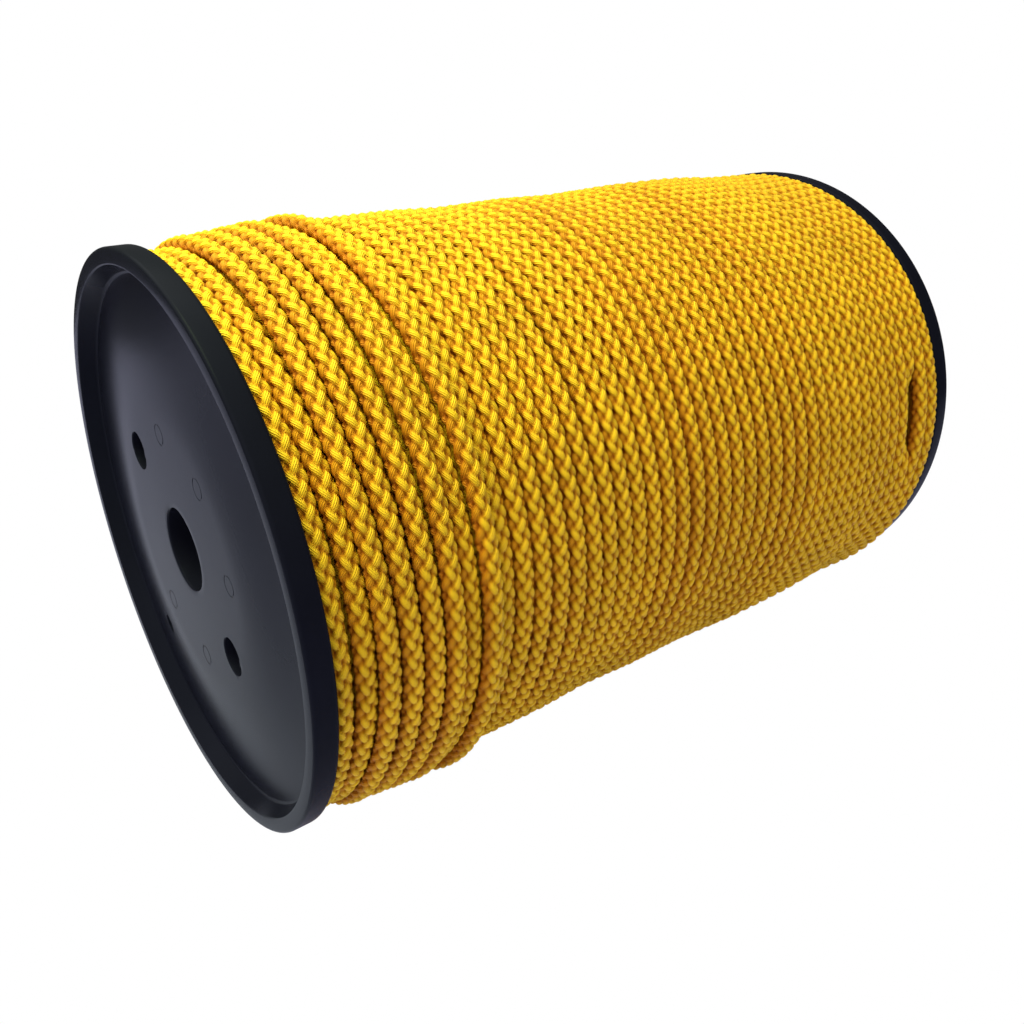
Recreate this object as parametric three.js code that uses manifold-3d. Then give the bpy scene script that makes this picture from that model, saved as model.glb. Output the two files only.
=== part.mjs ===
// A reel of braided cord, lying on its side.
// Millimetres, +Z up. The reel's axis is the Y axis and its centre is the origin.
// The near flange is at -Y and the far flange at +Y.

import * as THREE from 'three';
import { mergeVertices } from 'three/addons/utils/BufferGeometryUtils.js';
import Module from 'manifold-3d';

// Driving dimensions.
const FLANGE_RADIUS = 75;
const REEL_LENGTH = 230;
const RIM_THICKNESS = 6.2; // along the axis, from the lip's top to the cord side
const LIP_WIDTH = 4.1; // flat ring at the flange's edge
const LIP_SLOPE = 1.4; // how far the lip's inner wall leans in, from its top to its foot
const RECESS_EDGE_DEPTH = 4.6; // of the web below the lip's top, beside the lip
const RECESS_MIDDLE_DEPTH = 2.2; // of the flat middle of the web
const FLAT_MIDDLE_RADIUS = 34;
const EDGE_ROUND = 0.7;
const BORE_RADIUS = 11;
const HUB_RADIUS = 15;
const HUB_LENGTH = 26;
const BARREL_RADIUS = 45;
const BARREL_WALL = 3;
const SPIGOT_WALL = 2.6;
const SPIGOT_LENGTH = 14;
const RIB_COUNT = 6;
const RIB_THICKNESS = 2.4;
const RIB_DEPTH = 12;
const DRIVE_HOLE_RADIUS = 5;
const DRIVE_HOLE_CIRCLE = 31.2;
const ANCHOR_HOLE_RADIUS = 2.8;
const ANCHOR_HOLE_CIRCLE = 51;
const FULL_LAYERS = 5;
const LAYER_COUNT = 6;
const TOP_WRAPS_WIDTH = 40.5; // of the last, short pass beside the near flange
const GAP = 0.3; // between pieces that touch
const SEGMENTS = 48; // flat facets around a turned piece
const WEB_STEPS = 6; // flat rings that make the web's sinking part
const JOIN = 0.9; // how far features of one moulding run into each other

// Worked-out places.
const HALF_LENGTH = REEL_LENGTH / 2;
const INNER_FACE = HALF_LENGTH - RIM_THICKNESS; // of a flange, on the cord side
const CORD_THICKNESS = (FLANGE_RADIUS - BARREL_RADIUS) / LAYER_COUNT;
const BARREL_BORE = BARREL_RADIUS - BARREL_WALL;
const SPIGOT_RADIUS = BARREL_BORE - GAP;
const SPIGOT_BORE = SPIGOT_RADIUS - SPIGOT_WALL;
const WOUND_END = INNER_FACE - GAP; // of the barrel and the cord, each way from the middle
const PASS_END = -WOUND_END + TOP_WRAPS_WIDTH;
const WOUND_OUTSIDE = FLANGE_RADIUS - GAP;
const WEB_EDGE_RADIUS = FLANGE_RADIUS - LIP_WIDTH - LIP_SLOPE; // foot of the lip's inner wall

// Angles on the far flange in the XZ plane, from +X towards +Z, in degrees.
const DRIVE_HOLE_ANGLES = [38, 218];
const ANCHOR_HOLE_ANGLE = -51;

const wasm = await Module();
wasm.setup();

const blackPlastic = () => new THREE.MeshStandardMaterial({ color: 0x17171d, roughness: 0.42, metalness: 0 });
const yellowCord = () => new THREE.MeshStandardMaterial({ color: 0xe8b41c, roughness: 0.85, metalness: 0 });

// Rounds turned about Y have a flat facet at the bottom and touch the true circle from outside.
const turned = (outline) => {
  const scale = 1 / Math.cos(Math.PI / SEGMENTS);
  const points = outline.map(([radius, y]) => new THREE.Vector2(radius * scale, y));
  points.push(points[0].clone());
  return new THREE.LatheGeometry(points, SEGMENTS, Math.PI / SEGMENTS);
};

const solidOf = (geometry) => {
  geometry.deleteAttribute('normal');
  geometry.deleteAttribute('uv');
  const welded = mergeVertices(geometry, 1e-4);
  return new wasm.Manifold(new wasm.Mesh({
    numProp: 3,
    vertProperties: new Float32Array(welded.attributes.position.array),
    triVerts: new Uint32Array(welded.index.array),
  }));
};

const geometryOf = (solid) => {
  const { vertProperties, triVerts } = solid.getMesh();
  const geometry = new THREE.BufferGeometry();
  geometry.setAttribute('position', new THREE.BufferAttribute(new Float32Array(vertProperties), 3));
  geometry.setIndex(new THREE.BufferAttribute(new Uint32Array(triVerts), 1));
  geometry.computeVertexNormals();
  return geometry;
};

const piece = (name, geometry, material) => {
  const mesh = new THREE.Mesh(geometry, material);
  mesh.name = name;
  return mesh;
};

// A ring between two radii, from y0 to y1.
const sleeve = (inner, outer, y0, y1) =>
  turned([[inner, y0], [outer, y0], [outer, y1], [inner, y1]]);

// A peg along Y, used to cut the round holes of the web.
const peg = (radius, circle, degrees, sides) => {
  const angle = THREE.MathUtils.degToRad(degrees);
  const geometry = new THREE.CylinderGeometry(radius, radius, 3 * RIM_THICKNESS, sides);
  geometry.translate(circle * Math.cos(angle), HALF_LENGTH - RIM_THICKNESS / 2, circle * Math.sin(angle));
  return solidOf(geometry);
};

// Depth of the web's outer face below the lip's top: flat in the middle, sinking towards the lip.
const recessDepth = (radius) => {
  const t = THREE.MathUtils.smoothstep(radius, FLAT_MIDDLE_RADIUS, WEB_EDGE_RADIUS);
  return RECESS_MIDDLE_DEPTH + (RECESS_EDGE_DEPTH - RECESS_MIDDLE_DEPTH) * t;
};

// The turned disc of a flange, its outer face towards +Y.
const flangeDisc = () => {
  const web = [];
  for (let i = 0; i <= WEB_STEPS; i += 1) {
    const radius = FLAT_MIDDLE_RADIUS + (WEB_EDGE_RADIUS - FLAT_MIDDLE_RADIUS) * (i / WEB_STEPS);
    web.push([radius, HALF_LENGTH - recessDepth(radius)]);
  }
  const lipInner = FLANGE_RADIUS - LIP_WIDTH;
  return turned([
    [BORE_RADIUS, INNER_FACE],
    [FLANGE_RADIUS - EDGE_ROUND, INNER_FACE],
    [FLANGE_RADIUS, INNER_FACE + EDGE_ROUND],
    [FLANGE_RADIUS, HALF_LENGTH - EDGE_ROUND],
    [FLANGE_RADIUS - EDGE_ROUND, HALF_LENGTH],
    [lipInner, HALF_LENGTH],
    ...web.reverse(),
    [BORE_RADIUS, HALF_LENGTH - RECESS_MIDDLE_DEPTH],
  ]);
};

// Ring that plugs into the barrel, hub tube around the bore, and the ribs that join them.
const flangeBack = () => {
  const root = INNER_FACE + JOIN;
  const spigot = solidOf(sleeve(SPIGOT_BORE, SPIGOT_RADIUS, INNER_FACE - SPIGOT_LENGTH, root));
  const hub = solidOf(sleeve(BORE_RADIUS, HUB_RADIUS, INNER_FACE - HUB_LENGTH, root));
  const ribStart = HUB_RADIUS - JOIN;
  const ribLength = SPIGOT_BORE + JOIN - ribStart;
  let back = spigot.add(hub);
  for (let i = 0; i < RIB_COUNT; i += 1) {
    const angle = THREE.MathUtils.degToRad(DRIVE_HOLE_ANGLES[0]) + ((i + 0.5) * 2 * Math.PI) / RIB_COUNT;
    const rib = new THREE.BoxGeometry(ribLength, RIB_DEPTH + JOIN, RIB_THICKNESS);
    rib.translate(ribStart + ribLength / 2, root - (RIB_DEPTH + JOIN) / 2, 0);
    rib.rotateY(-angle);
    back = back.add(solidOf(rib));
  }
  return back;
};

// A whole flange facing +Y. The holes are cut last, through the web only.
const flange = () => {
  let solid = solidOf(flangeDisc()).add(flangeBack());
  for (const degrees of DRIVE_HOLE_ANGLES) {
    solid = solid.subtract(peg(DRIVE_HOLE_RADIUS, DRIVE_HOLE_CIRCLE, degrees, 24));
  }
  return solid.subtract(peg(ANCHOR_HOLE_RADIUS, ANCHOR_HOLE_CIRCLE, ANCHOR_HOLE_ANGLE, 16));
};

const reel = new THREE.Group();

// The two flanges are the same moulding, turned to face opposite ways.
const farFlange = piece('far_flange', geometryOf(flange()), blackPlastic());
const nearFlange = piece('near_flange', geometryOf(flange()), blackPlastic());
nearFlange.rotation.z = Math.PI;
reel.add(farFlange, nearFlange);

// The barrel, clamped between the flanges and centred by their spigots.
reel.add(piece('barrel', sleeve(BARREL_BORE, BARREL_RADIUS, -WOUND_END, WOUND_END), blackPlastic()));

// The wound cord, one sleeve for each full layer of turns.
const layerInside = (index) => BARREL_RADIUS + index * CORD_THICKNESS + GAP;
for (let index = 0; index < FULL_LAYERS; index += 1) {
  const geometry = sleeve(layerInside(index), layerInside(index + 1) - GAP, -WOUND_END, WOUND_END);
  reel.add(piece(`cord_layer_${index + 1}`, geometry, yellowCord()));
}

// The outermost layer, and beside the near flange the last short pass over it.
const lastInside = layerInside(FULL_LAYERS);
const lastLayer = sleeve(lastInside, WOUND_OUTSIDE, PASS_END + GAP, WOUND_END);
const topWraps = sleeve(lastInside, WOUND_OUTSIDE, -WOUND_END, PASS_END);
reel.add(piece('cord_layer_6', lastLayer, yellowCord()));
reel.add(piece('cord_top_wraps', topWraps, yellowCord()));

export default reel;
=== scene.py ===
import math

import bmesh
import bpy
import numpy as np
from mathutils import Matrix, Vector


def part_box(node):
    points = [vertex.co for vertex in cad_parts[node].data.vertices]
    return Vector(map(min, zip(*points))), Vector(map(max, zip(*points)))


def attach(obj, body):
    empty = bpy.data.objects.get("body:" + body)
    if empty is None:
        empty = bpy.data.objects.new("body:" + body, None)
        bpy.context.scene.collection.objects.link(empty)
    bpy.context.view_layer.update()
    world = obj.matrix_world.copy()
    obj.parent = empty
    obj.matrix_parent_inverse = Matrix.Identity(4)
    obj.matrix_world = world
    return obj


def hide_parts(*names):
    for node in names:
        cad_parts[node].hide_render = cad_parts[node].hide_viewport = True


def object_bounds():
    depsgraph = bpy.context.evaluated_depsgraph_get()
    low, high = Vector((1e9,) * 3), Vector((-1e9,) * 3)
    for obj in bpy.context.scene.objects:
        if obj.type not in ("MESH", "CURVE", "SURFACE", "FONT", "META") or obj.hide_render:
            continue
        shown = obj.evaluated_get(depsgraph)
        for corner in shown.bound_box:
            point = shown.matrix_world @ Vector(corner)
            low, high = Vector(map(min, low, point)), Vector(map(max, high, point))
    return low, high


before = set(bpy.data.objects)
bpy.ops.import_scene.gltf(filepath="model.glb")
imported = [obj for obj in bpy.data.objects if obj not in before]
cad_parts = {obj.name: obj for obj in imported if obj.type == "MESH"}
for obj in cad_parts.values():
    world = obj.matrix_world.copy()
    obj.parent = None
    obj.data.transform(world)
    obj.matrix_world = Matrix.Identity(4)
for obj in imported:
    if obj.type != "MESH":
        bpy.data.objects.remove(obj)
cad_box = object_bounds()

MM = 0.001
SEED = 11

# Places and sizes that come from the frame.
FLANGE_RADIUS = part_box("far_flange")[1].z
HALF_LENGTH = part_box("far_flange")[1].y
BARREL_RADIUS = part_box("barrel")[1].z
FITTING_GAP = 0.3 * MM
INNER_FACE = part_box("barrel")[1].y + FITTING_GAP  # of a flange, on the cord side
HUB_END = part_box("far_flange")[0].y  # where the hub tube stops inside the barrel
FLOOR = cad_box[0].z

# The camera and the light. Places are in flange radii.
CAMERA_PLACE = (2.861, -2.302, 1.524)
CAMERA_DIRECTION = (-0.7082, 0.5456, -0.4481)
CAMERA_LENS = 32.55
SENSOR_WIDTH = 36
FLOOR_REACH = 0.55  # metres each way from the middle
FLOOR_COLOUR = (0.70, 0.71, 0.95, 1)
SOFT_BOX_DIRECTION = (-0.08, -0.35, 0.93)
SOFT_BOX_EDGE = (0.42, 0.85)  # cosine of the angle from its middle, where it starts and where it is full
SOFT_BOX_STRENGTH = (0.09, 2.6)  # of the dim surroundings and of the box
END_LAMP_PLACE = (0.2, -1.9, 3.0)
END_LAMP_AIM = (0.1, -1.25, 0.9)
END_LAMP_SIZE = 1.6
END_LAMP_POWER = 0.5
END_LAMP_COLOUR = (0.8, 1.0, 0.4)


# ---------------------------------------------------------------- camera, floor and light

def make_camera():
    data = bpy.data.cameras.new("camera")
    data.lens = CAMERA_LENS
    data.sensor_width = SENSOR_WIDTH
    data.clip_start = 0.01
    camera = bpy.data.objects.new("camera", data)
    camera.location = [place * FLANGE_RADIUS for place in CAMERA_PLACE]
    camera.rotation_euler = Vector(CAMERA_DIRECTION).to_track_quat("-Z", "Y").to_euler()
    bpy.context.scene.collection.objects.link(camera)
    bpy.context.scene.camera = camera


def white_when_seen(nodes, links, shader, output):
    """The camera sees plain white there, while the shader lights and colours the object."""
    seen = nodes.new("ShaderNodeEmission")
    seen.inputs["Color"].default_value = (1, 1, 1, 1)
    path = nodes.new("ShaderNodeLightPath")
    mix = nodes.new("ShaderNodeMixShader")
    links.new(path.outputs["Is Camera Ray"], mix.inputs["Fac"])
    links.new(shader.outputs[0], mix.inputs[1])
    links.new(seen.outputs[0], mix.inputs[2])
    links.new(mix.outputs[0], output.inputs["Surface"])


def make_floor():
    reach = FLOOR_REACH
    corners = [(-reach, -reach, 0), (reach, -reach, 0), (reach, reach, 0), (-reach, reach, 0)]
    mesh = bpy.data.meshes.new("floor")
    mesh.from_pydata(corners, [], [(0, 1, 2, 3)])
    floor = bpy.data.objects.new("floor", mesh)
    floor.location.z = FLOOR - 0.0002
    bpy.context.scene.collection.objects.link(floor)
    paper = bpy.data.materials.new("floor_paper")
    paper.use_nodes = True
    nodes, links = paper.node_tree.nodes, paper.node_tree.links
    shader = nodes["Principled BSDF"]
    shader.inputs["Base Color"].default_value = FLOOR_COLOUR
    shader.inputs["Roughness"].default_value = 0.9
    white_when_seen(nodes, links, shader, nodes["Material Output"])
    mesh.materials.append(paper)


def make_light():
    """A wide soft box overhead in dim surroundings, and a small lamp over the near end."""
    world = bpy.data.worlds.new("studio")
    world.use_nodes = True
    nodes, links = world.node_tree.nodes, world.node_tree.links
    place = nodes.new("ShaderNodeTexCoord")
    towards = nodes.new("ShaderNodeVectorMath")
    towards.operation = "DOT_PRODUCT"
    towards.inputs[1].default_value = Vector(SOFT_BOX_DIRECTION).normalized()
    links.new(place.outputs["Generated"], towards.inputs[0])
    ramp = nodes.new("ShaderNodeMapRange")
    ramp.interpolation_type = "SMOOTHSTEP"
    ramp.inputs["From Min"].default_value, ramp.inputs["From Max"].default_value = SOFT_BOX_EDGE
    ramp.inputs["To Min"].default_value, ramp.inputs["To Max"].default_value = SOFT_BOX_STRENGTH
    links.new(towards.outputs["Value"], ramp.inputs["Value"])
    lighting = nodes["Background"]
    lighting.inputs["Color"].default_value = (0.98, 0.99, 1.0, 1)
    links.new(ramp.outputs["Result"], lighting.inputs["Strength"])
    white_when_seen(nodes, links, lighting, nodes["World Output"])
    bpy.context.scene.world = world

    lamp = bpy.data.lights.new("end_lamp", "AREA")
    lamp.shape = "DISK"
    lamp.size = END_LAMP_SIZE * FLANGE_RADIUS
    lamp.energy = END_LAMP_POWER
    lamp.color = END_LAMP_COLOUR
    held = bpy.data.objects.new("end_lamp", lamp)
    held.location = Vector(END_LAMP_PLACE) * FLANGE_RADIUS
    aim = Vector(END_LAMP_AIM) * FLANGE_RADIUS
    held.rotation_euler = (aim - held.location).to_track_quat("-Z", "Y").to_euler()
    bpy.context.scene.collection.objects.link(held)
    bpy.context.scene.view_settings.view_transform = "Standard"


# ---------------------------------------------------------------- small mesh helpers

def add_object(name, mesh):
    made = bpy.data.objects.new(name, mesh)
    bpy.context.scene.collection.objects.link(made)
    return made


def mesh_of_triangles(name, points, triangles):
    mesh = bpy.data.meshes.new(name)
    mesh.vertices.add(len(points))
    mesh.vertices.foreach_set("co", np.asarray(points, np.float32).ravel())
    mesh.loops.add(triangles.size)
    mesh.loops.foreach_set("vertex_index", triangles.astype(np.int32).ravel())
    mesh.polygons.add(len(triangles))
    mesh.polygons.foreach_set("loop_start", np.arange(0, triangles.size, 3, dtype=np.int32))
    mesh.update(calc_edges=True)
    return mesh


def smoothstep(x, start, end):
    t = np.clip((x - start) / (end - start), 0, 1)
    return t * t * (3 - 2 * t)


def arc(centre_r, centre_y, radius, start, end, steps):
    """Points of a rounded corner in a turned outline, angles in degrees."""
    return [
        (centre_r + radius * math.cos(math.radians(a)), centre_y + radius * math.sin(math.radians(a)))
        for a in np.linspace(start, end, steps)
    ]


# ---------------------------------------------------------------- flanges

BORE_RADIUS = 11 * MM
HUB_RADIUS = 15 * MM
SPIGOT_RADIUS = 41.7 * MM
SPIGOT_BORE = 39.1 * MM
SPIGOT_END = INNER_FACE - 14 * MM
RIB_COUNT = 6
RIB_THICKNESS = 2.4 * MM
RIB_DEPTH = 12 * MM
LIP_INSIDE = FLANGE_RADIUS - 4.1 * MM
WEB_EDGE = FLANGE_RADIUS - 5.5 * MM
WEB_FLAT = 34 * MM
WEB_MIDDLE_DEPTH = 2.2 * MM
WEB_EDGE_DEPTH = 4.6 * MM
DRIVE_HOLE_RADIUS = 5 * MM
DRIVE_HOLE_CIRCLE = 31.2 * MM
DRIVE_HOLE_ANGLES = (38, 218)  # on the far flange, from +X towards +Z
ANCHOR_HOLE_RADIUS = 2.8 * MM
ANCHOR_HOLE_CIRCLE = 51 * MM
ANCHOR_HOLE_ANGLE = -51
PIN_MARK_ANGLES = (83, 128, 173, 263, 308)  # witness rings left by the mould's ejector pins
PIN_MARK_CIRCLE = 30.5 * MM
PIN_MARK_RADIUS = 2.6 * MM
TURNED_STEPS = 256


def web_face(radius):
    """Height of the web's outer face, a low dome that sinks towards the lip."""
    sunk = smoothstep(radius, WEB_FLAT, WEB_EDGE)
    return HALF_LENGTH - WEB_MIDDLE_DEPTH - (WEB_EDGE_DEPTH - WEB_MIDDLE_DEPTH) * sunk


def flange_outline():
    """Closed outline (radius, y) of the flange that faces +Y, outer face first."""
    edge = 0.8 * MM
    back_edge = 1.2 * MM
    foot = 1.0 * MM
    points = arc(BORE_RADIUS + 0.6 * MM, HALF_LENGTH - WEB_MIDDLE_DEPTH - 0.6 * MM, 0.6 * MM, 180, 90, 5)
    points += [(r, float(web_face(r))) for r in np.linspace(13 * MM, WEB_EDGE - foot, 46)]
    points += arc(WEB_EDGE - foot, float(web_face(WEB_EDGE)) + foot, foot, -90, -18, 6)[1:]
    points += arc(LIP_INSIDE + 0.45 * MM, HALF_LENGTH - 0.45 * MM, 0.45 * MM, 165, 90, 5)
    points += arc(FLANGE_RADIUS - edge, HALF_LENGTH - edge, edge, 90, 0, 7)
    points += arc(FLANGE_RADIUS - back_edge, INNER_FACE + back_edge, back_edge, 0, -90, 8)
    points += [(r, INNER_FACE) for r in np.linspace(72 * MM, SPIGOT_RADIUS, 14)]
    points += [(SPIGOT_RADIUS, SPIGOT_END + 1 * MM), (SPIGOT_RADIUS - 0.8 * MM, SPIGOT_END)]
    points += [(SPIGOT_BORE, SPIGOT_END), (SPIGOT_BORE, INNER_FACE)]
    points += [(r, INNER_FACE) for r in np.linspace(37 * MM, HUB_RADIUS, 10)]
    points += [(HUB_RADIUS, HUB_END), (BORE_RADIUS, HUB_END)]
    return points


def turned(outline, steps=TURNED_STEPS):
    """Closed mesh turned about Y from a closed outline."""
    angle = np.linspace(0, 2 * math.pi, steps, endpoint=False)
    outline = np.array(outline)
    count = len(outline)
    x = outline[None, :, 0] * np.cos(angle)[:, None]
    z = outline[None, :, 0] * np.sin(angle)[:, None]
    y = np.repeat(outline[None, :, 1], steps, 0)
    points = np.stack([x, y, z], 2).reshape(-1, 3)
    faces = []
    for i in range(steps):
        a, b = i * count, ((i + 1) % steps) * count
        for j in range(count):
            k = (j + 1) % count
            faces.append((a + j, a + k, b + k, b + j))
    mesh = bpy.data.meshes.new("turned")
    mesh.from_pydata(points.tolist(), [], faces)
    mesh.update()
    return mesh


def outward(mesh):
    work = bmesh.new()
    work.from_mesh(mesh)
    bmesh.ops.recalc_face_normals(work, faces=work.faces)
    work.to_mesh(mesh)
    work.free()


def place_cutter(mesh, circle, degrees, height):
    angle = math.radians(degrees)
    for v in mesh.vertices:
        v.co += Vector((circle * math.cos(angle), height, circle * math.sin(angle)))
    outward(mesh)
    return add_object("cutter", mesh)


def hole_cutter(radius, circle, degrees):
    """A round hole through the web with a small rounded mouth."""
    mouth = 0.35 * MM
    face = float(web_face(np.float64(circle)))
    low = INNER_FACE - 2 * MM - face
    profile = [(1e-5, low), (radius, low), (radius, -mouth)]
    profile += [(radius + mouth * (1 - math.cos(a)), -mouth + mouth * math.sin(a)) for a in (0.5, 1.0, 1.4)]
    profile += [(radius + mouth * 1.3, 1 * MM), (1e-5, 1 * MM)]
    return place_cutter(turned(profile, 48), circle, degrees, face)


def ring_cutter(circle, degrees):
    """A shallow ring groove, as an ejector pin leaves it."""
    face = float(web_face(np.float64(circle)))
    groove, depth = 0.22 * MM, 0.09 * MM
    profile = [
        (PIN_MARK_RADIUS - groove, 0.2 * MM),
        (PIN_MARK_RADIUS - groove * 0.6, -depth),
        (PIN_MARK_RADIUS + groove * 0.6, -depth),
        (PIN_MARK_RADIUS + groove, 0.2 * MM),
    ]
    return place_cutter(turned(profile, 40), circle, degrees, face)


def box_object(low, high, degrees=0.0):
    corners = [(x, y, z) for x in (low[0], high[0]) for y in (low[1], high[1]) for z in (low[2], high[2])]
    turn = math.radians(degrees)
    spun = [
        (x * math.cos(turn) - z * math.sin(turn), y, x * math.sin(turn) + z * math.cos(turn))
        for x, y, z in corners
    ]
    mesh = bpy.data.meshes.new("block")
    sides = [(0, 1, 3, 2), (4, 6, 7, 5), (0, 4, 5, 1), (2, 3, 7, 6), (0, 2, 6, 4), (1, 5, 7, 3)]
    mesh.from_pydata(spun, [], sides)
    outward(mesh)
    return add_object("block", mesh)


def combine(target, tools, operation):
    """Applies one exact boolean for each tool, then removes the tool."""
    for tool in tools:
        step = target.modifiers.new("cut", "BOOLEAN")
        step.operation = operation
        step.solver = "EXACT"
        step.object = tool
    bpy.context.view_layer.update()
    evaluated = target.evaluated_get(bpy.context.evaluated_depsgraph_get())
    result = bpy.data.meshes.new_from_object(evaluated)
    target.modifiers.clear()
    target.data = result
    for tool in tools:
        bpy.data.objects.remove(tool)


def drive_nibs():
    """A small key in each drive hole, on the side towards -X of the far flange."""
    nibs = []
    for degrees in DRIVE_HOLE_ANGLES:
        x = DRIVE_HOLE_CIRCLE * math.cos(math.radians(degrees))
        z = DRIVE_HOLE_CIRCLE * math.sin(math.radians(degrees))
        low = (x - DRIVE_HOLE_RADIUS - 0.6 * MM, INNER_FACE + 0.4 * MM, z - 0.9 * MM)
        high = (x - DRIVE_HOLE_RADIUS + 1.5 * MM, HALF_LENGTH - WEB_MIDDLE_DEPTH - 0.35 * MM, z + 0.9 * MM)
        nibs.append(box_object(low, high))
    return nibs


def make_flange(name, material):
    mesh = turned(flange_outline())
    outward(mesh)
    flange = add_object(name, mesh)
    ribs = []
    for i in range(RIB_COUNT):
        low = (HUB_RADIUS - 1 * MM, INNER_FACE - RIB_DEPTH, -RIB_THICKNESS / 2)
        high = (SPIGOT_BORE + 1 * MM, INNER_FACE + 1 * MM, RIB_THICKNESS / 2)
        ribs.append(box_object(low, high, DRIVE_HOLE_ANGLES[0] + (i + 0.5) * 360 / RIB_COUNT))
    combine(flange, ribs, "UNION")
    holes = [hole_cutter(DRIVE_HOLE_RADIUS, DRIVE_HOLE_CIRCLE, a) for a in DRIVE_HOLE_ANGLES]
    holes.append(hole_cutter(ANCHOR_HOLE_RADIUS, ANCHOR_HOLE_CIRCLE, ANCHOR_HOLE_ANGLE))
    holes += [ring_cutter(PIN_MARK_CIRCLE, a) for a in PIN_MARK_ANGLES]
    combine(flange, holes, "DIFFERENCE")
    combine(flange, drive_nibs(), "UNION")
    flange.data.name = name
    flange.data.materials.clear()
    flange.data.materials.append(material)
    return flange


def smooth_by_angle(made, degrees):
    bpy.ops.object.select_all(action="DESELECT")
    made.select_set(True)
    bpy.context.view_layer.objects.active = made
    bpy.ops.object.shade_smooth_by_angle(angle=math.radians(degrees))


def make_flanges(material):
    far = make_flange("far_flange_moulding", material)
    near = add_object("near_flange_moulding", far.data.copy())
    for v in near.data.vertices:
        v.co.x, v.co.y = -v.co.x, -v.co.y
    for made, node in ((far, "far_flange"), (near, "near_flange")):
        smooth_by_angle(made, 32)
        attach(made, "root")
        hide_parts(node)


# ---------------------------------------------------------------- the wound cord

CORD_RADIUS = 2.6 * MM
BRAID_LAY = 19.0 * MM  # length in which a strand goes once round the cord
STRANDS_EACH_WAY = 4
STRAND_RISE = 0.36 * MM  # how far a strand moves out and in as it crosses over and under
STRAND_CROWN = 0.86 * MM
STRAND_HALF_WIDTH = 1.17 * MM
CORD_CORE = CORD_RADIUS - STRAND_RISE - STRAND_CROWN
CORD_FLATNESS = (0.96, 1.01)  # of the wound cord's section, along the reel's radius and sideways
PLAIN_RADIUS = CORD_RADIUS * 0.93  # of the cord in the layers that can't be seen
PLAIN_STEP = 3.2 * MM
GROOVE_RADIUS = CORD_CORE * 0.96  # where no strand covers the cord
FINE_GRID = 32  # directions around the outer turns' cord
COARSE_GRID = 16
PLAIN_GRID = 12
OUTWARD_STEPS = 10  # fine grid steps each way from straight out
HIDDEN_STEPS = (13, 16, 19)  # grid steps kept on the side that faces the layer below
ROUTE_SAMPLES = 720  # points a turn from which a route's length is summed
UV_ROWS = 12
UV_MARGIN = (0.004, 0.04)  # along a row, and across it
FLANK_SHADE = 0.75  # painted shade: how much darker the colour is made where a turn faces its neighbour
FLANK_ANGLES = (35, 95)  # degrees from straight out, where that starts and where it is full
SEAM_ANGLE = 208  # degrees from +X towards +Z, on the hidden side, where each turn steps to the next
STEP_SHARE = 0.10  # share of a turn, each side of the seam, that the step takes
FLOOR_SHARE = 0.83  # share of a turn from the seam to the side that faces the floor
FULL_TURNS = 42
LAYER_COUNT = 6
NEAR_TURN = 8.9 * MM  # from the near flange's outer face to the first turn's middle
LOW_TURNS = 8  # turns of the sixth layer that lie under the last pass or beside the near flange
LOW_PITCH = 5.1 * MM
FAR_TURN = 2 * HALF_LENGTH - NEAR_TURN
OUTER_LAYER = 72.35 * MM  # radius at the middle of the cord in the sixth layer
LAYER_STEP = 5.0 * MM
LAYER_SQUEEZE = 0.62 * MM  # how much closer together the inner layers lie under the last pass
SQUEEZE_END = (38 * MM, 52 * MM)  # from the near flange's outer face, where that fades out

# The last pass: for each turn, its distance from the near flange's outer face and its radius, in mm.
PASS_TURNS = ((18.4, 73.3), (23.9, 73.7), (29.3, 74.3), (34.9, 74.9), (39.6, 73.4), (44.4, 75.6))
# The turns of the sixth layer nearest the near flange lie lower, in mm below its radius.
LOW_DROPS = (1.4, 1.4, 3.55, 3.25, 2.75, 2.35, 3.45, 1.55)
# How far the rest of the layer swells, in mm: distance from the near flange's outer face, on top, below.
SWELLS = (
    (46, 0.0, 0.0),
    (54, 1.4, 0.2),
    (74, 1.5, 0.6),
    (92, 0.8, -0.1),
    (112, 1.3, 0.7),
    (132, 0.8, 0.5),
    (158, 1.7, 1.8),
    (182, 1.8, 1.9),
    (202, 0.5, 1.0),
    (221, 0.1, 1.8),
)
# Places where turns part: distance from the near flange's outer face (mm), angle, half spread (degrees)
# and width (mm).
PARTINGS = (
    (11.4, 5, 34, 1.0),
    (16.5, 62, 36, 0.8),
    (37.4, 0, 30, 0.7),
    (47.2, 60, 34, 0.7),
    (75.2, 66, 28, 1.3),
    (80.4, 48, 30, 1.4),
    (110.0, 20, 40, 0.4),
    (205.5, 68, 40, 0.8),
    (210.9, 8, 12, 0.8),
)
PARTING_REACH = 11 * MM
# Places where a turn has sunk: distance, angle and half spread as above, and depth (mm).
DIPS = ((210.9, 8, 10, 4.0), (75.2, 62, 18, 0.8), (80.4, 46, 18, 0.8))
DIP_REACH = 3.2 * MM


def wander(y, angle):
    """Slow sideways drift of the turns, the same for neighbours."""
    rng = np.random.default_rng(SEED)
    drift = np.zeros_like(y)
    for wave in range(1, 6):
        phase = rng.uniform(0, 2 * math.pi, 2)
        reach = 0.30 * MM / wave ** 0.5
        drift += reach * np.cos(wave * angle + phase[0]) * np.cos(y / (13 * MM) * wave ** 0.5 + phase[1])
    return drift


def parted(y, angle):
    """Moves turns apart at each parting."""
    shift = np.zeros_like(y)
    for place, degrees, spread, width in PARTINGS:
        away = y - (place * MM - HALF_LENGTH)
        turn = (np.degrees(angle) - degrees + 180) % 360 - 180
        share = np.exp(-((turn / (0.7 * spread)) ** 4)) * np.exp(-np.abs(away) / PARTING_REACH)
        shift += 0.5 * width * MM * np.sign(away) * share
    return shift


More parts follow.
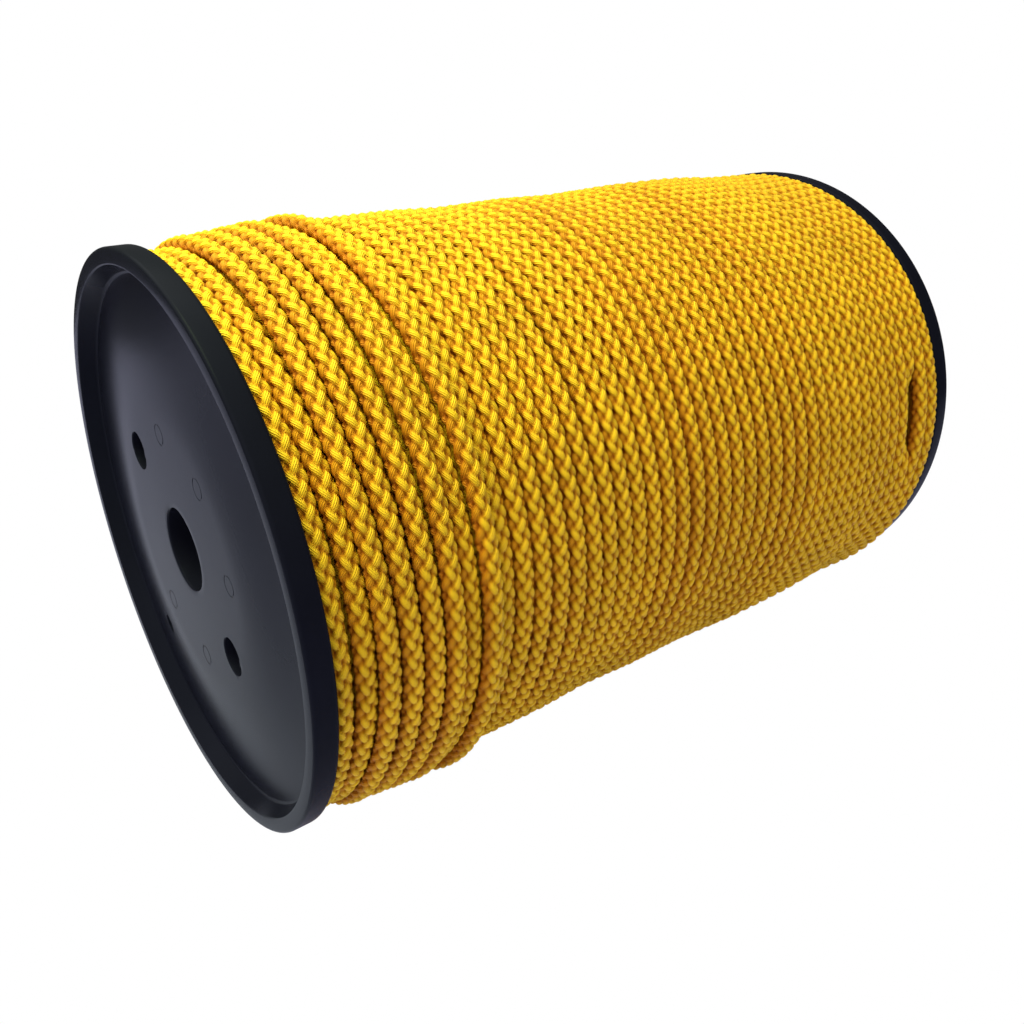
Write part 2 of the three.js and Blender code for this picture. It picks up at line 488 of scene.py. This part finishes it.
def sunk(y, angle):
    """How far a turn lies below the others at each dip."""
    depth = np.zeros_like(y)
    for place, degrees, spread, drop in DIPS:
        away = (y - (place * MM - HALF_LENGTH)) / DIP_REACH
        turn = ((np.degrees(angle) - degrees + 180) % 360 - 180) / spread
        depth += drop * MM * np.exp(-away ** 4 - turn ** 4)
    return depth


def swell(y, angle):
    """How far the turns bulge between the flanges."""
    place, top, below = np.array(SWELLS).T
    share = 0.5 + 0.5 * np.sin(angle - math.radians(28))
    from_near = (y + HALF_LENGTH) / MM
    return MM * (share * np.interp(from_near, place, top) + (1 - share) * np.interp(from_near, place, below))


def eased(keys, t):
    """Value at t between keys (t, value), leaving and reaching each key level."""
    keys = np.array(keys)
    i = np.clip(np.searchsorted(keys[:, 0], t, "right") - 1, 0, len(keys) - 2)
    start, end = keys[i], keys[i + 1]
    share = smoothstep(t, start[:, 0], end[:, 0])
    return start[:, 1] + (end[:, 1] - start[:, 1]) * share


def outer_turn(index):
    """Distance from the near flange's outer face, and radius, of a turn of the sixth layer.

    Turns are counted from the near end.
    """
    if index < LOW_TURNS:
        return NEAR_TURN + LOW_PITCH * index, OUTER_LAYER - LOW_DROPS[index] * MM
    first = NEAR_TURN + LOW_PITCH * LOW_TURNS
    pitch = (FAR_TURN - first) / (FULL_TURNS - 1 - LOW_TURNS)
    return first + pitch * (index - LOW_TURNS), OUTER_LAYER


def outer_keys():
    """Keys (t, place) and (t, radius) of the outer route, and its end, with t counted in turns.

    The sixth layer goes from the far flange to the near one, and the last pass comes back over it.
    """
    # The cord climbs from the end of the fifth layer beside the far flange.
    places, radii = [(-STEP_SHARE, FAR_TURN)], [(-STEP_SHARE, OUTER_LAYER - LAYER_STEP)]
    for n in range(FULL_TURNS):
        place, radius = outer_turn(FULL_TURNS - 1 - n)
        for t in (n + STEP_SHARE, n + 1 - STEP_SHARE):
            places.append((t, place))
            radii.append((t, radius))
    n = FULL_TURNS
    near_place, near_radius = outer_turn(0)
    # The climb: onto the last turn at the near flange, then across it and its neighbour.
    radii += [(n - 0.02, near_radius + 4.4 * MM), (n + 0.1, near_radius + 4.5 * MM)]
    places += [(n + 0.08, near_place + 6.5 * MM)]
    for i, (place, radius) in enumerate(PASS_TURNS):
        starts = n + i + (0.26 if i == 0 else STEP_SHARE)
        for t in (starts, n + i + 1 - STEP_SHARE):
            places.append((t, place * MM))
            radii.append((t, radius * MM))
    # The free end lies in its own track, on the side that faces down and back.
    return places, radii, places[-1][0]


def outer_route(t):
    places, radii, _ = outer_keys()
    angle = math.radians(SEAM_ANGLE) - 2 * math.pi * t
    y = eased(places, t) - HALF_LENGTH
    radius = eased(radii, t) + swell(y, angle) - sunk(y, angle)
    inside = smoothstep(y, -INNER_FACE + 2.5 * MM, -INNER_FACE + 8 * MM)
    inside *= 1 - smoothstep(y, INNER_FACE - 8 * MM, INNER_FACE - 2.5 * MM)
    return y + wander(y, angle) * inside + parted(y, angle), radius, angle


def inner_route(layer):
    """Route of a full inner layer, 1 next to the barrel. Odd layers are wound towards the far flange."""
    middle = BARREL_RADIUS + (layer - 0.5) * LAYER_STEP
    side = -1 if layer % 2 else 1

    def route(t):
        angle = math.radians(SEAM_ANGLE) - 2 * math.pi * t
        share = eased([(n + k, (n + h) / FULL_TURNS) for n in range(FULL_TURNS)
                       for k, h in ((STEP_SHARE, 0), (1 - STEP_SHARE, 0))], t)
        y = side * (INNER_FACE - CORD_RADIUS - 0.2 * MM) * (1 - 2 * share * FULL_TURNS / (FULL_TURNS - 1))
        low = 1 - smoothstep(y, -HALF_LENGTH + SQUEEZE_END[0], -HALF_LENGTH + SQUEEZE_END[1])
        pressed = sunk(y, angle) / LAYER_COUNT
        return y, middle - layer * (low * LAYER_SQUEEZE + pressed), angle

    return route


def on_floor(radius, angle):
    """Keeps the cord above the floor where the reel lies on its rims."""
    down = np.maximum(-np.sin(angle), 0.2)
    limit = -FLOOR / down - CORD_RADIUS - 0.1 * MM
    return np.minimum(radius, limit)


def centre_line(route, start, end, step):
    """Points every step along a route, each with its distance, turn, radial and tangent directions."""
    t = np.linspace(start, end, int((end - start) * ROUTE_SAMPLES) + 2)
    y, radius, angle = route(t)
    radius = on_floor(radius, angle)
    dense = np.stack([radius * np.cos(angle), y, radius * np.sin(angle)], 1)
    along = np.concatenate([[0], np.cumsum(np.linalg.norm(np.diff(dense, axis=0), axis=1))])
    distance = np.arange(int(along[-1] / step) + 1) * step
    points = np.stack([np.interp(distance, along, dense[:, i]) for i in range(3)], 1)
    tangent = np.gradient(points, axis=0)
    tangent /= np.linalg.norm(tangent, axis=1)[:, None]
    out = points * np.array([1, 0, 1])
    out -= (out * tangent).sum(1)[:, None] * tangent
    out /= np.linalg.norm(out, axis=1)[:, None]
    return points, distance, np.interp(distance, along, t), out, tangent


def strand_across(along, around, side):
    """Offset from the middle of the nearest strand of one family, and that middle's place along the cord."""
    spacing = 2 * math.pi / STRANDS_EACH_WAY
    slope = math.atan2(2 * math.pi * CORD_RADIUS, BRAID_LAY)
    offset = around - side * 2 * math.pi * along / BRAID_LAY
    offset = (offset + spacing / 2) % spacing - spacing / 2
    across = CORD_RADIUS * offset * math.cos(slope)
    return across, along + side * across * math.sin(slope)


def braid(along, around):
    """Radius of the braided surface, which family is on top, and where across its strand a point is."""
    best = np.full(np.broadcast(along, around).shape, GROOVE_RADIUS)
    owner = np.zeros(best.shape, int)
    place = np.zeros(best.shape)
    for side in (1, -1):
        across, middle = strand_across(along, around, side)
        wave = np.cos(2 * math.pi * STRANDS_EACH_WAY * middle / BRAID_LAY)
        rise = side * STRAND_RISE * np.tanh(2.2 * wave) / math.tanh(2.2)
        crown = np.clip(1 - (across / STRAND_HALF_WIDTH) ** 2, 0, 1) ** 0.55
        height = CORD_CORE + rise + STRAND_CROWN * crown
        higher = (height > best) & (crown > 0)
        best = np.where(higher, height, best)
        owner = np.where(higher, side, owner)
        place = np.where(higher, across / STRAND_HALF_WIDTH, place)
    return best, owner, place


def roll_of(distance):
    """Slow twist of the cord as it was wound, in radians."""
    slow = math.radians(9) * np.sin(distance / 1.9)
    quick = math.radians(6) * np.sin(distance / 0.61 + 1)
    return math.radians(-9) + slow + quick


def grid_directions(grid, fine):
    """Angles around the cord: the whole grid, or only its outward part and a coarse hidden side."""
    spacing = 2 * math.pi / grid
    if not fine:
        return np.arange(grid) * spacing
    outward_part = np.arange(-OUTWARD_STEPS, OUTWARD_STEPS + 1) * spacing
    return np.concatenate([outward_part, np.array(HIDDEN_STEPS) * spacing])


def lay_out_uv(rings, sides):
    """One flat map: the cord's length cut into rows, each with the way around as its height."""
    per_row = math.ceil((rings - 1) / UV_ROWS)
    ring = np.repeat(np.arange(rings - 1), sides)
    side = np.tile(np.arange(sides), rings - 1)
    row = ring // per_row
    left = ring - row * per_row
    corner_u = np.array([[0, 0, 1, 1]]) + left[:, None]
    corner_v = np.array([[0, 1, 1, 0]]) + side[:, None]
    edge_u, edge_v = UV_MARGIN
    u = edge_u + (1 - 2 * edge_u) * corner_u / per_row
    v = (row[:, None] + edge_v + (1 - 2 * edge_v) * corner_v / sides) / UV_ROWS
    return np.stack([u, v], 2)


def cord_piece(name, points, distance, out, tangent, grid, fine, material, relief=True):
    """Closed tube of braided cord around part of a route."""
    directions = grid_directions(grid, fine)
    sides = len(directions)
    rings = len(points)
    binormal = np.cross(tangent, out)
    if relief:
        radius, owner, across = braid(distance[:, None], directions[None, :])
    else:
        radius = np.full((rings, sides), PLAIN_RADIUS)
        owner, across = np.ones((rings, sides), int), np.zeros((rings, sides))
    turn = directions[None, :] + roll_of(distance)[:, None]
    radial = (radius * np.cos(turn) * CORD_FLATNESS[0])[..., None] * out[:, None, :]
    sideways = (radius * np.sin(turn) * CORD_FLATNESS[1])[..., None] * binormal[:, None, :]
    tube = (points[:, None, :] + radial + sideways).reshape(-1, 3)
    tube[:, 2] = np.maximum(tube[:, 2], FLOOR + 0.05 * MM)

    ring, side = np.meshgrid(np.arange(rings - 1), np.arange(sides), indexing="ij")
    after = (side + 1) % sides
    a = ring * sides + side
    b = ring * sides + after
    c = (ring + 1) * sides + after
    d = (ring + 1) * sides + side
    quad = np.stack([a, b, c, d], 2).reshape(-1, 4)
    owner_here = owner[:-1].reshape(-1)
    rising = (owner_here >= 0)[:, None]
    first = np.where(rising, quad[:, [0, 1, 2]], quad[:, [0, 1, 3]])
    second = np.where(rising, quad[:, [0, 2, 3]], quad[:, [1, 2, 3]])
    ends = len(tube)
    tube = np.vstack([tube, points[[0, -1]]])
    around = np.arange(sides)
    last = (rings - 1) * sides
    cap_a = np.stack([np.full(sides, ends), (around + 1) % sides, around], 1)
    cap_b = np.stack([np.full(sides, ends + 1), last + around, last + (around + 1) % sides], 1)
    triangles = np.concatenate([first, second, cap_a, cap_b])
    mesh = mesh_of_triangles(name, tube, triangles)

    flat_map = lay_out_uv(rings, sides)
    pick_first = np.where(rising, np.array([[0, 1, 2]]), np.array([[0, 1, 3]]))
    pick_second = np.where(rising, np.array([[0, 2, 3]]), np.array([[1, 2, 3]]))
    index = np.arange(len(quad))[:, None]
    caps = np.full((2 * sides, 3, 2), 0.999)
    corners = np.concatenate([flat_map[index, pick_first], flat_map[index, pick_second], caps])
    layer = mesh.uv_layers.new(name="OFBake")
    layer.uv.foreach_set("vector", corners.astype(np.float32).ravel())

    # Painted shade: this mask darkens the colour down into the grooves between strands, and more on the
    # sides where a turn faces its neighbour.
    from_out = np.abs((directions + math.pi) % (2 * math.pi) - math.pi)
    flank = smoothstep(from_out, math.radians(FLANK_ANGLES[0]), math.radians(FLANK_ANGLES[1]))
    painted_shade_mask = np.clip((radius - GROOVE_RADIUS) / (CORD_RADIUS - GROOVE_RADIUS), 0, 1)
    painted_shade_mask *= 1 - FLANK_SHADE * flank
    for label, values in (("painted_shade_mask", painted_shade_mask), ("across", across)):
        store = mesh.attributes.new(label, "FLOAT", "POINT")
        filled = np.concatenate([values.reshape(-1), [0.5, 0.5]]).astype(np.float32)
        store.data.foreach_set("value", filled)
    smooth = np.ones(len(triangles), bool)
    smooth[-2 * sides:] = False
    mesh.polygons.foreach_set("use_smooth", smooth)
    mesh.materials.append(material)
    mesh.validate()
    return add_object(name, mesh)


def wind(prefix, route, start, end, turns_each, grid, fine, material, nodes, relief=True):
    """Makes a stretch of the winding, in pieces that meet where the turns face the floor.

    Returns its length.
    """
    step = BRAID_LAY / grid if relief else PLAIN_STEP
    points, distance, turn, out, tangent = centre_line(route, start, end, step)
    cuts = np.arange(turns_each - 1 + FLOOR_SHARE, end - 0.5, turns_each)
    edges = [0, *np.searchsorted(turn, cuts), len(points) - 1]
    count = len(edges) - 1
    for i in range(count):
        part = slice(edges[i], edges[i + 1] + 1)
        name = f"{prefix}_{i + 1:02d}" if count > 1 else prefix
        made = cord_piece(name, points[part], distance[part], out[part], tangent[part], grid, fine,
                          material, relief)
        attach(made, "root")
        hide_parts(*nodes)
    return distance[-1]


def make_cord(material):
    length = 0
    for layer in range(1, 5):
        length += wind(f"cord_layer_{layer}_turns", inner_route(layer), STEP_SHARE, FULL_TURNS - STEP_SHARE,
                       FULL_TURNS, PLAIN_GRID, False, material, [f"cord_layer_{layer}"], relief=False)
    length += wind("cord_layer_5_turns", inner_route(5), STEP_SHARE, FULL_TURNS - STEP_SHARE,
                   FULL_TURNS // 3, COARSE_GRID, False, material, ["cord_layer_5"])
    end = outer_keys()[2]
    length += wind("cord_outer_turns", outer_route, -STEP_SHARE, end, 4, FINE_GRID, True, material,
                   ["cord_layer_6", "cord_top_wraps"])
    print(f"cord length {length:.1f} m")


# ---------------------------------------------------------------- materials

def new_material(name):
    made = bpy.data.materials.new(name)
    made.use_nodes = True
    return made, made.node_tree.nodes, made.node_tree.links, made.node_tree.nodes["Principled BSDF"]


def add_node(nodes, kind, **values):
    made = nodes.new("ShaderNode" + kind)
    for key, value in values.items():
        if hasattr(made, key):
            setattr(made, key, value)
        else:
            made.inputs[key.replace("_", " ")].default_value = value
    return made


def add_ramp(nodes, links, source, stops):
    ramp = nodes.new("ShaderNodeValToRGB")
    ramp.color_ramp.elements[0].position, ramp.color_ramp.elements[0].color = stops[0]
    ramp.color_ramp.elements[1].position, ramp.color_ramp.elements[1].color = stops[-1]
    for position, colour in stops[1:-1]:
        ramp.color_ramp.elements.new(position).color = colour
    links.new(source, ramp.inputs["Fac"])
    return ramp


def plastic_material():
    made, nodes, links, shader = new_material("black_moulded_plastic")
    place = add_node(nodes, "TexCoord")
    grain = add_node(nodes, "TexNoise", Scale=900.0, Detail=3.0)
    cloud = add_node(nodes, "TexNoise", Scale=22.0, Detail=4.0)
    links.new(place.outputs["Object"], grain.inputs["Vector"])
    links.new(place.outputs["Object"], cloud.inputs["Vector"])
    tint = add_ramp(nodes, links, cloud.outputs["Fac"],
                    [(0.3, (0.0050, 0.0052, 0.0085, 1)), (0.7, (0.0075, 0.0078, 0.0125, 1))])
    links.new(tint.outputs["Color"], shader.inputs["Base Color"])
    rough = add_node(nodes, "MapRange", To_Min=0.20, To_Max=0.28)
    links.new(cloud.outputs["Fac"], rough.inputs["Value"])
    links.new(rough.outputs["Result"], shader.inputs["Roughness"])
    bump = add_node(nodes, "Bump", Strength=0.06, Distance=0.0002)
    links.new(grain.outputs["Fac"], bump.inputs["Height"])
    links.new(bump.outputs["Normal"], shader.inputs["Normal"])
    shader.inputs["IOR"].default_value = 1.07
    shader.inputs["Specular Tint"].default_value = (0.64, 0.71, 1.0, 1)
    return made


def cord_material():
    made, nodes, links, shader = new_material("yellow_braided_cord")
    painted_shade_mask = add_node(nodes, "Attribute", attribute_name="painted_shade_mask")
    across = add_node(nodes, "Attribute", attribute_name="across")
    place = add_node(nodes, "TexCoord")
    patch = add_node(nodes, "TexNoise", Scale=60.0, Detail=3.0)
    links.new(place.outputs["Object"], patch.inputs["Vector"])
    # Painted shade: the groove and flank colours are darker, redder copies of the crown colour, used where
    # the braid's grooves and sides lie in shade.
    groove, flank, crown = (0.36, 0.080, 0.003, 1), (0.60, 0.250, 0.005, 1), (0.84, 0.50, 0.014, 1)
    depth = add_ramp(nodes, links, painted_shade_mask.outputs["Fac"], [(0.0, groove), (0.5, flank), (0.88, crown)])
    tone = add_node(nodes, "HueSaturation")
    shade = add_node(nodes, "MapRange", From_Min=0.3, From_Max=0.7, To_Min=0.9, To_Max=1.08)
    links.new(patch.outputs["Fac"], shade.inputs["Value"])
    links.new(shade.outputs["Result"], tone.inputs["Value"])
    links.new(depth.outputs["Color"], tone.inputs["Color"])
    links.new(tone.outputs["Color"], shader.inputs["Base Color"])

    # Filaments run along each strand, so they vary only across it.
    scaled = add_node(nodes, "Math", operation="MULTIPLY")
    scaled.inputs[1].default_value = 17.0
    links.new(across.outputs["Fac"], scaled.inputs[0])
    wave = add_node(nodes, "Math", operation="SINE")
    links.new(scaled.outputs[0], wave.inputs[0])
    bump = add_node(nodes, "Bump", Strength=0.6, Distance=0.00016)
    links.new(wave.outputs[0], bump.inputs["Height"])
    links.new(bump.outputs["Normal"], shader.inputs["Normal"])
    rough = add_node(nodes, "MapRange", To_Min=0.5, To_Max=0.66)
    links.new(patch.outputs["Fac"], rough.inputs["Value"])
    links.new(rough.outputs["Result"], shader.inputs["Roughness"])
    shader.inputs["Specular Tint"].default_value = (1.0, 0.72, 0.2, 1)
    shader.inputs["Specular IOR Level"].default_value = 0.35
    return made


# ---------------------------------------------------------------- the whole scene

def make_barrel(material):
    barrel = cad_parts["barrel"]
    for slot in barrel.material_slots:
        slot.material = material


make_camera()
make_floor()
make_light()
plastic = plastic_material()
make_flanges(plastic)
make_barrel(plastic)
make_cord(cord_material())
